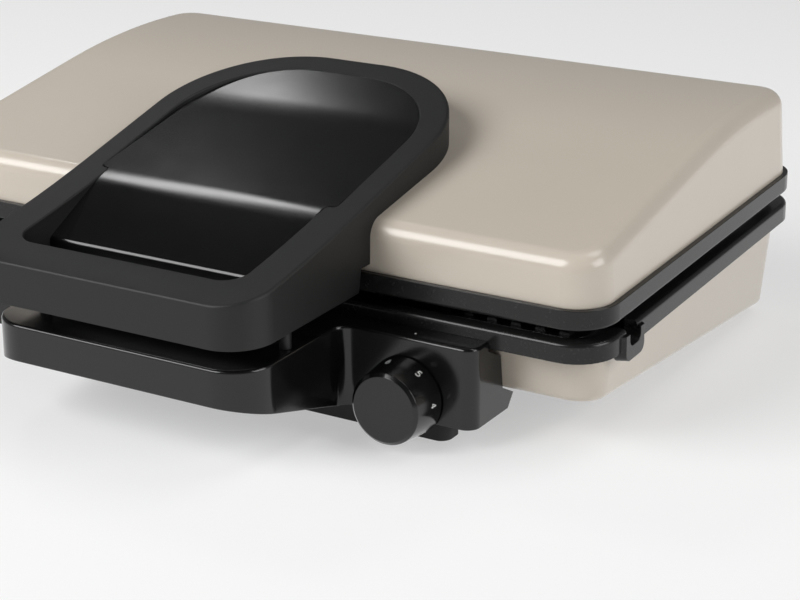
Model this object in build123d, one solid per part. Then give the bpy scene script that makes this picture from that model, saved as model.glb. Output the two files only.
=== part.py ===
from build123d import *
import os
from math import cos, radians, sin, tan

# Countertop contact grill with a hinged, floating lid. Millimetres, +Z up, +X right, the handle towards -Y.
# It is drawn about its centre plane, then moved over by half the spout's reach when it is written, so that the
# origin is the middle of its footprint on the table. Places along the depth are counted from the plates' front
# and rear edges, and everything at the back from the rear of the hinge housing.

# Clearances
fit = 0.3                      # gap left between different bodies, and between loose mouldings
seat = 0.15                    # gap left round a piece that drops into another
run_gap = 0.05                 # radial clearance of a running fit
thread_room = 1.5              # bore left beyond a screw's tip
over = 1.0                     # how far a cutting tool runs past the face it opens
far = 300.0                    # reach of a tool that cuts right across

# Overall
plate_w = 420.0
plate_d = 258.0
handle_reach = 104.7           # from the plates' front edge out to the front of the grip
rear_reach = 14.8              # from the plates' rear edge back to the rear of the hinge housing
depth = handle_reach + plate_d + rear_reach
front_y = -depth / 2
rear_y = depth / 2
plate_front = front_y + handle_reach
plate_rear = plate_front + plate_d

# Cooking plates: both tilt down towards the front, so that fat runs to the spout
plate_corner = 22.0
tilt = 2.0
rim_z = 50.0                   # underside of the lower rim at the front
lower_rim_h = 10.0
plates_gap = 6.1
upper_rim_h = 10.5
rim_wall = 7.0
gutter_w = 11.0
gutter_floor = 3.2
cook_floor = 5.2
field_corner = 9.0
rib_top = 9.4
rib_pitch = 13.0
rib_w = 6.4
rib_top_w = 3.2
rib_short = 3.0                # how far the ribs end inside the raised field
rim_round = 2.2
skirt_inset = 12.0
skirt_inset_y = 18.0
skirt_corner = 12.0
skirt_t = 2.6
skirt_drop = 5.0
weld = 0.5                     # overlap where two forms of one casting grow together
upper_rim_bottom = lower_rim_h + plates_gap
upper_rim_top = upper_rim_bottom + upper_rim_h

# Grease spout on the right edge of the lower plate
spout_y = 36.6
spout_out = 2.0
spout_tip_hw = 10.2
spout_root_hw = 13.6
spout_depth = 5.2
spout_bottom = -5.8
spout_tip_r = 4.4
spout_root_r = 6.0
spout_notch_w = 12.4
spout_notch_floor = 0.8
spout_notch_r = 3.6

# Lid shell
lid_inset = 2.7
lid_draft = 3.5
lid_wall = 2.6
lid_top_front = 50.5           # the top's height over the lower rim, carried forward to the plate's front
lid_top_slope = 8.36
lid_arc_r = 480.0
lid_roll = 128.0               # length over which the top rolls over towards the hinge
lid_round = 9.5
lid_inner_bevel = 5.0
lid_low = 6.0                  # the shell's top edges lie above this height over the upper rim
pillar_r = 6.0
pillar_x = plate_w / 2 - 60.0
pillar_ys = (60.0, plate_d - 53.0)

# Lid chassis and heating
sheet = 1.0
chassis_w = plate_w - 24.0
chassis_d = plate_d - 22.0
chassis_corner = 14.0
chassis_top = 38.0
reflector_inset = 8.0
reflector_rim = 6.0
reflector_h = 3.0
reflector_corner = 10.0
reflector_slack = 0.75         # room round the lid screws' heads in the sheet
element_r = 3.3
element_sides = 8
element_x = plate_w / 2 - 90.0
element_front = 42.0
element_rear = plate_d - 36.0
element_bend = 30.0
element_gap = 0.6
clip_y = plate_d / 2
clip_hw = 5.5
clip_hl = 4.0
lower_reflector_z = -13.0

# Handle: a ring that stands on the lid and reaches out beyond its front
handle_hw = 85.3
handle_over = 130.8            # how far the ring reaches back over the lid
handle_rear = plate_front + handle_over
handle_front_r = 22.0
handle_rear_r = 69.0
handle_rise_y = plate_front - 91.7
handle_rise_z = 91.5
handle_straight_y = plate_front - 3.1
handle_straight_z = 110.2
handle_slope = 14.7
handle_nose_z = 87.8           # the top's height at the very front
handle_bottom = 66.8           # underside at the front
handle_bottom_rear = 68.5      # underside where it meets the plates
rim_clear_y = plate_front - 8.6
rim_clear_lean = 2.2
rim_clear_z = 80.4
bar_w = 20.9
scoop_hw = 65.7                # half width of the opening along the scoop
panel_widening = 5.7
panel_hw = scoop_hw + panel_widening  # half width of the opening along the flat
rear_bar_w = 16.4
inner_front_r = 12.0
inner_step_r = 2.6
scoop_round = 0.8
inner_rear_r = 56.0
handle_wall = 2.6
handle_round = 1.4
gap_rear = plate_front - 57.0  # back wall of the finger gap
panel_low = 85.4
panel_foot_r = 3.0
crease_y = plate_front - 14.5
crease_z = 107.5
crease_r = 60.0
panel_step_y = crease_y + 8.0  # where the opening widens from the scoop to the flat
panel_sink = 2.5               # how deep the flat lies below the ring's top where it turns up again
panel_bend_y = plate_front + 67.8
panel_t = 2.6
under_t = 2.4
handle_screw_x = 77.6
handle_screw_ys = (plate_front + 20.0, plate_front + 74.0)
handle_screw_len = 8.0
boss_r = 4.6

# Lower tub
tub_front_inset = 12.0
tub_side_inset = 7.0
tub_rear_inset = 4.0
tub_corner = 18.0
tub_draft = 5.7
tub_wall = 2.8
tub_floor_y = plate_front + 15.0
tub_floor_z = 24.3
tub_floor_slope = 4.63         # the underside falls towards the rear
tub_bottom_round = 4.0
tub_depth = 80.0
flange_w = 12.0
cover_t = 2.0
cover_hw = plate_w / 2 - 34.0
cover_front = plate_front + 33.8
cover_rear = plate_rear - 24.2
cover_corner = 18.0
cover_screw_inset = 5.5
cover_screw_x = cover_hw - 18.0
vent_rows = 4
vent_columns = 5
vent_pitch_x = 44.0
vent_pitch_y = 16.0
vent_w = 30.0
vent_h = 4.0
vent_front = cover_front + 42.0
post_x = plate_w / 2 - 32.0
post_ys = (plate_front + 75.8, plate_rear - 62.2)

# Front fascia: the lip under the handle and the control housing, one moulding
lip_hw = 79.0
lip_front = plate_front - 95.0
lip_front_z = 33.8
lip_front_top = 52.6
lip_corner = 22.0
fascia_reach = 73.5            # how far the housing reaches out beside the lip
fascia_hw = lip_hw + fascia_reach
panel_y = plate_front - 15.0
fascia_bottom = 12.0
fascia_top = 53.4
fascia_corner = 7.0
fascia_round = 1.5
neck_r = 7.0
fascia_wall = 2.8
lip_slope_end = panel_y - 4.6
housing_back = ((plate_front + 20.7, 12.0), (plate_front + 26.2, 18.8), (plate_front + 15.0, 24.6),
                (plate_front + 12.3, 42.2), (plate_front - fit, 48.5))

# Knob and its thermostat
knob_reach = 36.5
knob_x = lip_hw + knob_reach
knob_z = 23.5
knob_gap = 1.0
knob_len = 20.1
knob_rb = 20.3
knob_rf = 18.1
knob_bevel = 1.5
knob_hollow_r = 15.5
knob_hollow = 14.5
knob_wall = 3.0
hub_r = 6.0
hub_back = 5.0                 # the hub ends this far in front of the knob's rear edge, clear of the nut
shaft_r = 3.0
shaft_in = 12.8                # how far the shaft runs behind the panel's face
bush_r = 5.0
bush_out = 3.8
nut_r = 7.5
nut_t = 2.6
nut_sides = 6
thermo_w = 30.0
thermo_h = 23.0
thermo_bottom = 15.6
thermo_d = 17.0

# Feet and studs
foot_len = 90.0
foot_x1 = fascia_hw - 18.5
foot_x0 = foot_x1 - foot_len
foot_y0 = panel_y + 7.0
foot_y1 = panel_y + 23.8
foot_corner = 6.0
rear_foot_x = cover_hw - 26.0
rear_foot_y = cover_rear - 24.0
rear_foot_r = 12.0
stud_x = lip_hw - 6.0
stud_y = plate_front - 55.0
stud_r = 3.0
stud_neck_r = 2.0
stud_root = 4.0

# Rear hinge: slides that let the lid float, and the pins it turns on
hinge_y = rear_y - 7.0
hinge_z = 84.0
knuckle_r = 7.0
float_travel = 12.0
back_hw = plate_w / 2 - 70.0
back_inner = rear_y - 35.0
back_bottom = 8.0
back_top = 74.0
back_step_y = rear_y - 14.0
back_step_z = rim_z + (plate_d - 36.0) * sin(radians(tilt)) - fit
back_corner = 5.0
hinge_x = back_hw - 30.0
slide_w = 22.0
slide_t = 8.0
slide_bottom = 30.0
tie_h = 8.0
ear_t = 4.0
ear_low = 86.9
ear_high = 91.0
ear_front = hinge_y - 40.0
ear_foot_rear = hinge_y - 16.0
ear_slot_front = hinge_y - 28.0
ear_slot_drop = 6.0
bracket_t = 2.0
pin_r = 2.5
pin_out = 1.2
pin_head_r = 4.0
pin_head_t = 1.6
gland_x = back_hw - 80.0
gland_z = 19.0
gland_r = 6.0
gland_len = 12.0
gland_flange_r = 9.0
gland_flange_t = 1.6
gland_bore_r = 3.6

# Screws
screw_r = 1.75
screw_head_r = 3.6
screw_head_h = 2.2
screw_len = 12.0
screw_sides = 8

# Ways of placing a turned form, and the directions that count as level or as across when edges are chosen
from_end = (Align.CENTER, Align.CENTER, Align.MIN)
along_y = Rot(-90, 0, 0)
along_x = Rot(0, 90, 0)
turned_over = Rot(0, 180, 0)
facing_down = Rot(180, 0, 0)
half_way = 0.5
level = 0.65
across = 0.95


def plate_place(shape):
    """Moves a shape from the plates' flat frame, whose origin is the lower rim's front edge, to its place."""
    return Pos(0, plate_front, rim_z) * Rot(tilt, 0, 0) * shape


def block(x0, x1, y0, y1, z0, z1):
    return Pos((x0 + x1) / 2, (y0 + y1) / 2, (z0 + z1) / 2) * Box(x1 - x0, y1 - y0, z1 - z0)


def side_prism(points, half_width):
    """A closed outline in (y, z), swept equally to both sides of the centre plane."""
    face = Plane.YZ * make_face(Polyline(*points, close=True))
    return extrude(face, amount=half_width, both=True)


def rounded_slab(width, length, corner, centre_y, z0, z1):
    return Pos(0, centre_y, z0) * extrude(RectangleRounded(width, length, corner), amount=z1 - z0)


def y_rod(x, z, radius, y0, y1):
    return Pos(x, y0, z) * along_y * Cylinder(radius, y1 - y0, align=from_end)


def x_rod(y, z, radius, x0, x1):
    return Pos(x0, y, z) * along_x * Cylinder(radius, x1 - x0, align=from_end)


def z_rod(x, y, radius, z0, z1):
    return Pos(x, y, z0) * Cylinder(radius, z1 - z0, align=from_end)


def mirrored(shape):
    return mirror(shape, about=Plane.YZ)


def both_sides(places):
    """The given (x, y) places and their mirror images."""
    return [(side * x, y) for x, y in places for side in (-1, 1)]


# ---------------------------------------------------------------- cooking plates
def grill_plate(rim_h):
    """One cooking plate, cooking face up: rim, drain channel all round and a raised ribbed field."""
    mid = plate_d / 2
    plate = rounded_slab(plate_w, plate_d, plate_corner, mid, 0, rim_h)
    plate = fillet(plate.faces().sort_by(Axis.Z)[-1].edges(), rim_round)
    inner_w = plate_w - 2 * rim_wall
    inner_d = plate_d - 2 * rim_wall
    plate -= rounded_slab(inner_w, inner_d, plate_corner - rim_wall, mid, gutter_floor, rim_h + over)
    field_w = inner_w - 2 * gutter_w
    field_d = inner_d - 2 * gutter_w
    plate += rounded_slab(field_w, field_d, field_corner, mid, gutter_floor - weld, cook_floor)
    rib = Polyline((-rib_w / 2, cook_floor - weld), (rib_w / 2, cook_floor - weld), (rib_top_w / 2, rib_top),
                   (-rib_top_w / 2, rib_top), close=True)
    rib_bar = extrude(Plane.XZ * make_face(rib), amount=field_d / 2 - rib_short, both=True)
    count = int((field_w / 2 - field_corner) / rib_pitch)
    for k in range(-count, count + 1):
        plate += Pos(k * rib_pitch, mid, 0) * rib_bar
    return plate


def plate_skirt():
    """The locating wall under the lower plate, which drops inside the tub."""
    mid = plate_d / 2
    skirt_w = plate_w - 2 * skirt_inset
    skirt_d = plate_d - 2 * skirt_inset_y
    skirt = rounded_slab(skirt_w, skirt_d, skirt_corner, mid, -skirt_drop, weld)
    return skirt - rounded_slab(skirt_w - 2 * skirt_t, skirt_d - 2 * skirt_t, skirt_corner - skirt_t, mid,
                                -skirt_drop - over, weld + over)


def spout_section(half_width, corner, x):
    """The spout's outline across its run: a rounded shield that hangs below the rim."""
    height = lower_rim_h - rim_round - spout_bottom
    face = Rectangle(2 * half_width, height)
    low = face.vertices().sort_by(Axis.Y)[:2]
    face = fillet(low, corner)
    plane = Plane(origin=(x, spout_y, spout_bottom + height / 2), x_dir=(0, 1, 0), z_dir=(1, 0, 0))
    return plane * face


def spout_notch():
    """The pouring channel: as deep as the drain channel inside, falling to the spout's tip."""
    edge = plate_w / 2
    tip = edge + spout_out + over
    root = edge - rim_wall - over
    profile = Polyline((root, gutter_floor), (tip, spout_notch_floor), (tip, lower_rim_h + over),
                       (root, lower_rim_h + over), close=True)
    channel = extrude(Plane.XZ * make_face(profile), amount=spout_notch_w / 2, both=True)
    low = [e for e in channel.edges() if e.center().Z < gutter_floor and abs((e % half_way).X) > across]
    return Pos(0, spout_y, 0) * fillet(low, spout_notch_r)


def lower_plate():
    """The lower plate with its U-shaped grease spout in the right rim."""
    edge = plate_w / 2
    root = spout_section(spout_root_hw, spout_root_r, edge + spout_out - spout_depth)
    tip = spout_section(spout_tip_hw, spout_tip_r, edge + spout_out)
    spout = loft([root, tip], ruled=True)
    return plate_place(grill_plate(lower_rim_h) + plate_skirt() + spout - spout_notch())


def upper_plate():
    """The upper plate: the same casting turned over, without a spout."""
    plate = turned_over * grill_plate(upper_rim_h)
    return plate_place(Pos(0, 0, upper_rim_top) * plate)


# ---------------------------------------------------------------- lid shell
def lid_top_profile(lower):
    """The region under the lid's top line, in the plates' frame: a rising flat that rolls over to the rear."""
    slope = radians(lid_top_slope)
    knee_y = plate_d - lid_roll
    start = (-lid_roll, lid_top_front - lid_roll * tan(slope) - lower)
    knee = (knee_y, lid_top_front + knee_y * tan(slope) - lower)
    apex = (knee[0] + lid_arc_r * sin(slope), knee[1] + lid_arc_r * (1 - cos(slope)))
    end = (knee[0] + 2 * lid_arc_r * sin(slope), knee[1])
    line = Polyline((end[0], 0), (start[0], 0), start, knee)
    arc = ThreePointArc(knee, apex, end)
    close = Line(end, (end[0], 0))
    face = Plane.YZ * make_face(Curve() + [line, arc, close])
    return extrude(face, amount=plate_w, both=True)


def lid_solid(inset):
    """The lid's closed form: rounded along its top edges outside, bevelled there inside the wall."""
    width = plate_w - 2 * lid_inset - 2 * inset
    length = plate_d - 2 * lid_inset - 2 * inset
    base = RectangleRounded(width, length, plate_corner - lid_inset - inset)
    body = Pos(0, plate_d / 2, upper_rim_top) * extrude(base, amount=plate_d / 4, taper=lid_draft)
    body = body & lid_top_profile(inset)
    low = upper_rim_top + lid_low
    loop = [e for e in body.edges() if e.center().Z > low and abs((e % half_way).Z) < level]
    body = chamfer(loop, lid_inner_bevel) if inset else fillet(loop, lid_round)
    half = body & block(0, plate_w, -plate_d, 2 * plate_d, 0, plate_d)
    return half + mirrored(half)


def lid_shell():
    """The painted lid: a drafted pillow, open below, with four screw pillars and slots for the hinge ears."""
    shell = lid_solid(0) - lid_solid(lid_wall)
    room = lid_solid(lid_wall - weld)
    for x, y in both_sides([(pillar_x, y) for y in pillar_ys]):
        pillar = z_rod(x, y, pillar_r, chassis_top, plate_d) & room
        shell += pillar - z_rod(x, y, screw_r, chassis_top - over, chassis_top + screw_len - over)
    shell = plate_place(shell)
    half = slide_w / 2 + fit + ear_t + seat
    for side in (-1, 1):
        x = side * hinge_x
        shell -= block(x - half, x + half, ear_slot_front, rear_y, ear_low - ear_slot_drop, ear_high + seat)
    for x, y in handle_screw_places():
        shell -= z_rod(x, y, screw_r + run_gap, rim_clear_z, handle_screw_z(y) + handle_screw_len)
    return shell


# ---------------------------------------------------------------- inside the lid
def chassis():
    """The folded sheet pan in the lid that carries the heater and hangs the upper plate."""
    mid = plate_d / 2
    low = upper_rim_top
    pan = rounded_slab(chassis_w, chassis_d, chassis_corner, mid, low, chassis_top)
    pan -= rounded_slab(chassis_w - 2 * sheet, chassis_d - 2 * sheet, chassis_corner - sheet, mid, low - over,
                        chassis_top - sheet)
    for x, y in both_sides([(pillar_x, y) for y in pillar_ys]):
        pan -= z_rod(x, y, screw_r + run_gap, low, chassis_top + over)
    pan = plate_place(pan)
    half = slide_w / 2 + fit + ear_t + over
    for side in (-1, 1):
        x = side * hinge_x
        pan -= block(x - half, x + half, ear_front, rear_y, ear_low - ear_slot_drop - over, ear_high + over)
    return pan


def heater(z):
    """A sheathed element pressed to a many-sided section, bent to one long loop with both ends at the rear."""
    points = ((-element_x, element_rear), (-element_x, element_front), (element_x, element_front),
              (element_x, element_rear))
    path = Pos(0, 0, z) * FilletPolyline(*points, radius=element_bend)
    start = Plane(origin=path @ 0, z_dir=path % 0)
    return plate_place(sweep(start * RegularPolygon(element_r, element_sides), path=path))


def reflector(z, flip):
    """The bright dished sheet behind a heater, dished away from it."""
    mid = plate_d / 2
    wide = chassis_w - 2 * reflector_inset
    long = chassis_d - 2 * reflector_inset
    dish = rounded_slab(wide, long, reflector_corner, mid, 0, reflector_h)
    dish -= block(-wide / 2 + reflector_rim, wide / 2 - reflector_rim, mid - long / 2 + reflector_rim,
                  mid + long / 2 - reflector_rim, sheet, reflector_h + over)
    if flip:
        dish = turned_over * dish
        for x, y in both_sides([(pillar_x, y) for y in pillar_ys]):
            half = screw_head_r + reflector_slack
            dish -= block(x - half, x + half, y - half, y + half, -reflector_h - over, over)
    return plate_place(Pos(0, 0, z) * dish)


def element_clips(z_floor, z_axis):
    """Two saddles that hold a heater off its reflector."""
    low, high = min(z_floor, z_axis), max(z_floor, z_axis)
    clips = []
    for x in (-element_x, element_x):
        clip = block(x - clip_hw, x + clip_hw, clip_y - clip_hl, clip_y + clip_hl, low, high)
        room = block(x - element_r, x + element_r, clip_y - clip_hw, clip_y + clip_hw, z_axis - element_r,
                     z_axis + element_r)
        clips.append(plate_place(clip - room))
    return clips


def hinge_bracket():
    """Lid half of one hinge: two ears round the pin, joined by a foot that lies under the shell."""
    inner = slide_w / 2 + fit
    bracket = block(-inner - ear_t, inner + ear_t, ear_front, ear_foot_rear, ear_high - bracket_t, ear_high)
    for side in (-1, 1):
        ends = sorted((side * inner, side * (inner + ear_t)))
        ear = x_rod(hinge_y, hinge_z, knuckle_r, *ends)
        ear += block(*ends, ear_front, hinge_y, ear_low, ear_high)
        bracket += ear - x_rod(hinge_y, hinge_z, pin_r, ends[0] - over, ends[1] + over)
    return bracket


def hinge_pins():
    """Two headed pins, one through each bracket and its slide."""
    pins = []
    half = slide_w / 2 + fit + ear_t
    for side in (-1, 1):
        x = side * hinge_x
        pin = x_rod(hinge_y, hinge_z, pin_r, x - half - pin_out, x + half)
        pin += x_rod(hinge_y, hinge_z, pin_head_r, x + half, x + half + pin_head_t)
        pins.append(pin)
    return pins


def screw(x, y, z, length):
    """A pan-head screw pointing up, its head's bearing face at z, its shank cut to a many-sided section."""
    shank = extrude(RegularPolygon(screw_r, screw_sides), amount=length)
    head = extrude(RegularPolygon(screw_head_r, 2 * screw_sides), amount=-screw_head_h)
    return Pos(x, y, z) * (shank + head)


def lid_screws():
    places = both_sides([(pillar_x, y) for y in pillar_ys])
    return [plate_place(screw(x, y, chassis_top - sheet, screw_len)) for x, y in places]


# ---------------------------------------------------------------- handle
def handle_screw_places():
    return both_sides([(handle_screw_x, y) for y in handle_screw_ys])


def handle_screw_z(y):
    """Height of a handle screw's head: just under the inner face of the shell below its boss."""
    local = y - plate_front
    slope = radians(lid_top_slope)
    inner = rim_z + lid_top_front + local * tan(slope) + local * sin(radians(tilt)) - lid_wall
    return inner - screw_head_r * tan(radians(lid_top_slope + tilt)) - 2 * fit


def handle_screws():
    return [screw(x, y, handle_screw_z(y), handle_screw_len) for x, y in handle_screw_places()]


def handle_top_z(y):
    return handle_straight_z + (y - handle_straight_y) * tan(radians(handle_slope))


def handle_floor(y):
    """Height of the overhanging grip's underside."""
    share = (y - front_y) / (rim_clear_y - front_y)
    return handle_bottom + share * (handle_bottom_rear - handle_bottom)


def ring_outline(inset):
    """The ring's outer plan form, pulled in by the inset."""
    x = handle_hw - inset
    y0 = front_y + inset
    y1 = handle_rear - inset
    face = make_face(Polyline((-x, y0), (x, y0), (x, y1), (-x, y1), close=True))
    face = fillet(face.vertices().sort_by(Axis.Y)[:2], handle_front_r - inset)
    return fillet(face.vertices().sort_by(Axis.Y)[-2:], handle_rear_r - inset)


def ring_window(grow, y_front=front_y + bar_w):
    """The ring's inner plan form, pushed out by grow: narrow along the scoop, stepping out along the flat."""
    x0 = scoop_hw + grow
    x1 = panel_hw + grow
    y0 = y_front - grow
    y1 = panel_step_y
    y2 = handle_rear - rear_bar_w + grow
    right = [(x0, y0), (x0, y1), (x1, y1), (x1, y2)]
    left = [(-x, y) for x, y in reversed(right)]
    face = make_face(Polyline(*right, *left, close=True))
    steps = [v for v in face.vertices() if y0 < v.Y < y2]
    face = fillet(steps, inner_step_r)
    face = fillet(face.vertices().sort_by(Axis.Y)[-2:], inner_rear_r + grow)
    return fillet(face.vertices().sort_by(Axis.Y)[:2], inner_front_r + grow)


def ring_form(inset):
    """The handle's closed outer form: a top that rolls up over the grip and bends into a straight rise."""
    low = fascia_bottom
    body = Pos(0, 0, low) * extrude(ring_outline(inset), amount=far)
    nose = (front_y - over, handle_nose_z - inset)
    rise = (handle_rise_y, handle_rise_z - inset)
    straight = (handle_straight_y, handle_straight_z - inset)
    rear = (handle_rear + over, handle_top_z(handle_rear + over) - inset)
    floor = Polyline(straight, rear, (rear[0], low), (nose[0], low), nose)
    slope = radians(handle_slope)
    bend = TangentArc(straight, rise, tangent=(-cos(slope), -sin(slope)))
    roll = TangentArc(rise, nose, tangent=bend % 1)
    face = Plane.YZ * make_face(Curve() + [floor, bend, roll])
    body = body & extrude(face, amount=handle_hw + over, both=True)
    if inset:
        return body
    edges = [e for e in body.edges() if e.center().Z > rim_clear_z and abs((e % half_way).Z) < level]
    ends = (front_y + over, handle_rear - over)
    outer = [e for e in edges if abs((e % half_way).X) < across or not ends[0] < e.center().Y < ends[1]]
    return fillet(outer, handle_round)


def below_handle(rise):
    """Everything up to a given rise above the grip's underside, forward of the plates, to cut with."""
    y0 = front_y - over
    y1 = rim_clear_y
    return side_prism([(y0, 0), (y0, handle_floor(y0) + rise), (y1, handle_floor(y1) + rise), (y1, 0)], far)


def rim_clearance(grow):
    """The room round the plates' rims that the handle keeps clear of, with a slightly leaning front."""
    top = rim_clear_z + grow
    y0 = rim_clear_y - grow
    inside = plate_front + lid_inset + lid_wall
    rear_top = top + (rear_y - inside) * tan(radians(lid_top_slope) / 2)
    return side_prism([(y0, 0), (y0, handle_bottom_rear), (y0 + rim_clear_lean, top), (inside, top),
                       (rear_y, rear_top), (rear_y, 0)], far)


def lid_block():
    """The room of the plates' rims and the lid's outer form as one block, which the handle is scribed to."""
    return rim_clearance(0) + plate_place(lid_solid(0))


def handle_frame(scribe):
    """The ring: side rails, a front grip bar and a rear bar, hollow from below, with bosses for its screws."""
    window = Pos(0, 0, fascia_bottom) * extrude(ring_window(0), amount=far)
    walls = Pos(0, 0, fascia_bottom) * extrude(ring_window(handle_wall), amount=far)
    hollow = ring_form(handle_wall) - walls - rim_clearance(handle_wall)
    for x, y in handle_screw_places():
        hollow -= z_rod(x, y, boss_r, rim_clear_z, far)
    frame = ring_form(0) - window
    top = [e for e in frame.edges() if abs((e % half_way).Z) < level and e.center().Z > rim_clear_z]
    inner = [e for e in top if abs(e.center().X) < scoop_hw + seat and e.center().Y > front_y + bar_w - seat]
    frame = fillet([e for e in inner if e.center().Y < panel_step_y - inner_step_r], scoop_round)
    frame -= hollow + below_handle(0)
    inner_x = scoop_hw + handle_wall + seat
    frame -= block(-inner_x, inner_x, gap_rear, plate_front, 0, handle_bottom_rear + under_t)
    frame -= scribe
    for x, y in handle_screw_places():
        frame -= z_rod(x, y, screw_r, rim_clear_z, handle_screw_z(y) + handle_screw_len)
    return frame


def panel_line(offset):
    """The panel's upper line in (y, z): the gap's back wall, the crease, the flat and its rise at the rear."""
    flat_end = handle_rear - rear_bar_w - seat
    return [(gap_rear + offset, panel_low - offset / 3), (crease_y + offset / 2, crease_z - offset),
            (panel_bend_y, handle_top_z(panel_bend_y) - panel_sink - offset),
            (flat_end + offset, handle_top_z(flat_end) - seat - offset)]


def handle_panel(scribe):
    """The dished panel inside the ring: gap wall, scoop up to a soft crease, then the flat."""
    low = handle_floor(gap_rear) + under_t + seat
    rear = handle_rear - rear_bar_w - seat
    body = side_prism([(gap_rear, low)] + panel_line(0) + [(rear, low)], handle_hw)
    bend_z = handle_top_z(panel_bend_y) - panel_sink
    across_edges = body.edges().filter_by(Axis.X)
    crease = across_edges.sort_by_distance((0, crease_y, crease_z))[0]
    bend = across_edges.sort_by_distance((0, panel_bend_y, bend_z))[0]
    body = fillet([crease, bend], crease_r)
    foot = body.edges().filter_by(Axis.X).sort_by_distance((0, gap_rear, panel_low))[0]
    body = fillet(foot, panel_foot_r)
    under = panel_line(panel_t)
    body -= side_prism([(gap_rear + panel_t, 0)] + under + [(under[-1][0] + panel_t, 0)], handle_hw + over)
    window = ring_window(-seat, y_front=gap_rear - handle_reach)
    body = body & Pos(0, 0, fascia_bottom) * extrude(window, amount=far)
    return body - scribe


def handle_under(scribe):
    """The underside cover of the overhanging grip, with the finger gap through it."""
    outline = Pos(0, 0, fascia_bottom) * extrude(ring_outline(handle_wall + seat), amount=far)
    cover = outline & (below_handle(under_t) - below_handle(0))
    x = scoop_hw + handle_wall + seat
    cover -= block(-x, x, front_y + bar_w - handle_wall - seat, gap_rear + seat, 0, far)
    return cover - block(-far, far, rim_clear_y - handle_wall - seat, rear_y, 0, far) - scribe


# ---------------------------------------------------------------- lower tub
def tub_floor(y):
    return tub_floor_z - (y - tub_floor_y) * tan(radians(tub_floor_slope))


def tub_band(top, bottom):
    """The layer between two lines parallel to the tub's underside, given by their heights above it."""
    y0, y1 = front_y, rear_y + plate_d
    return side_prism([(y0, tub_floor(y0) + top), (y1, tub_floor(y1) + top), (y1, tub_floor(y1) + bottom),
                       (y0, tub_floor(y0) + bottom)], far)


def tub_solid(inset):
    """The tub's closed outer form, drafted inwards towards its sloping underside."""
    width = plate_w - 2 * tub_side_inset - 2 * inset
    length = plate_d - tub_front_inset - tub_rear_inset - 2 * inset
    mid = (tub_front_inset + plate_d - tub_rear_inset) / 2
    outline = facing_down * RectangleRounded(width, length, tub_corner - inset)
    body = plate_place(Pos(0, mid, 0) * extrude(outline, amount=tub_depth, taper=tub_draft))
    body -= tub_band(inset, -far)
    if inset:
        return body
    return fillet(body.faces().sort_by(Axis.Z)[0].edges(), tub_bottom_round)


def cover_slab(top, bottom, grow):
    """A slab parallel to the tub's underside, between two heights above it."""
    mid = (cover_front + cover_rear) / 2
    width = 2 * (cover_hw + grow)
    length = cover_rear - cover_front + 2 * grow
    return rounded_slab(width, length, cover_corner + grow, mid, -far, far) & tub_band(top, bottom)


def cover_screw_places():
    rows = (cover_front + cover_screw_inset, cover_rear - cover_screw_inset)
    return both_sides([(cover_screw_x, y) for y in rows])


def base_tub():
    """The painted tub under the lower plate, with a flanged floor opening and posts for the reflector."""
    tub = tub_solid(0) - tub_solid(tub_wall)
    tub -= cover_slab(2 * cover_corner, -2 * cover_corner, -flange_w)
    for x, y in cover_screw_places():
        z = tub_floor(y)
        tub += z_rod(x, y, boss_r, z + tub_wall / 2, z + screw_len)
        tub -= z_rod(x, y, screw_r, z - tub_wall, z + screw_len - cover_t + thread_room / 2)
    above = plate_place(block(-far, far, -far, far + plate_d, lower_reflector_z, far))
    for x, y in both_sides([(post_x, y) for y in post_ys]):
        tub += z_rod(x, y, boss_r, tub_floor(y) + tub_wall / 2, rim_z + plate_d) - above
    return tub


def bottom_cover():
    """The flat plastic cover over the tub's floor opening, with rows of vent slots."""
    cover = cover_slab(0, -cover_t, 0)
    for row in range(vent_rows):
        y = vent_front + row * vent_pitch_y
        for column in range(vent_columns):
            x = (column - (vent_columns - 1) / 2) * vent_pitch_x
            cover -= block(x - vent_w / 2, x + vent_w / 2, y - vent_h / 2, y + vent_h / 2, -rim_z, rim_z)
    for x, y in cover_screw_places():
        cover -= z_rod(x, y, screw_r + run_gap, -rim_z, rim_z)
    return cover


def cover_screws():
    return [screw(x, y, tub_floor(y) - cover_t - fit, screw_len) for x, y in cover_screw_places()]


# ---------------------------------------------------------------- front fascia
def lip_form(inset):
    """The lip under the handle: flat on top, its underside rising to the front, with a neck to the housing."""
    x = lip_hw - inset
    y0 = lip_front + inset
    y1 = housing_back[-1][0] - fascia_wall
    face = make_face(Polyline((-x, y0), (x, y0), (x, y1), (-x, y1), close=True))
    face = fillet(face.vertices().sort_by(Axis.Y)[:2], lip_corner - inset)
    body = extrude(face, amount=rim_z + plate_d)
    if not inset:
        for side in (-1, 1):
            corner = Pos(side * (lip_hw + neck_r / 2), panel_y - neck_r / 2) * Rectangle(neck_r, neck_r)
            corner -= Pos(side * (lip_hw + neck_r), panel_y - neck_r) * Circle(neck_r)
            body += extrude(corner, amount=rim_z + plate_d)
    section = [(lip_front - over, lip_front_z + inset), (lip_slope_end, fascia_bottom + inset),
               (y1, fascia_bottom + inset), (y1, lip_top(y1) - inset), (y0 - over, lip_top(y0 - over) - inset)]
    return body & side_prism(section, lip_hw + 2 * neck_r)


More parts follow.
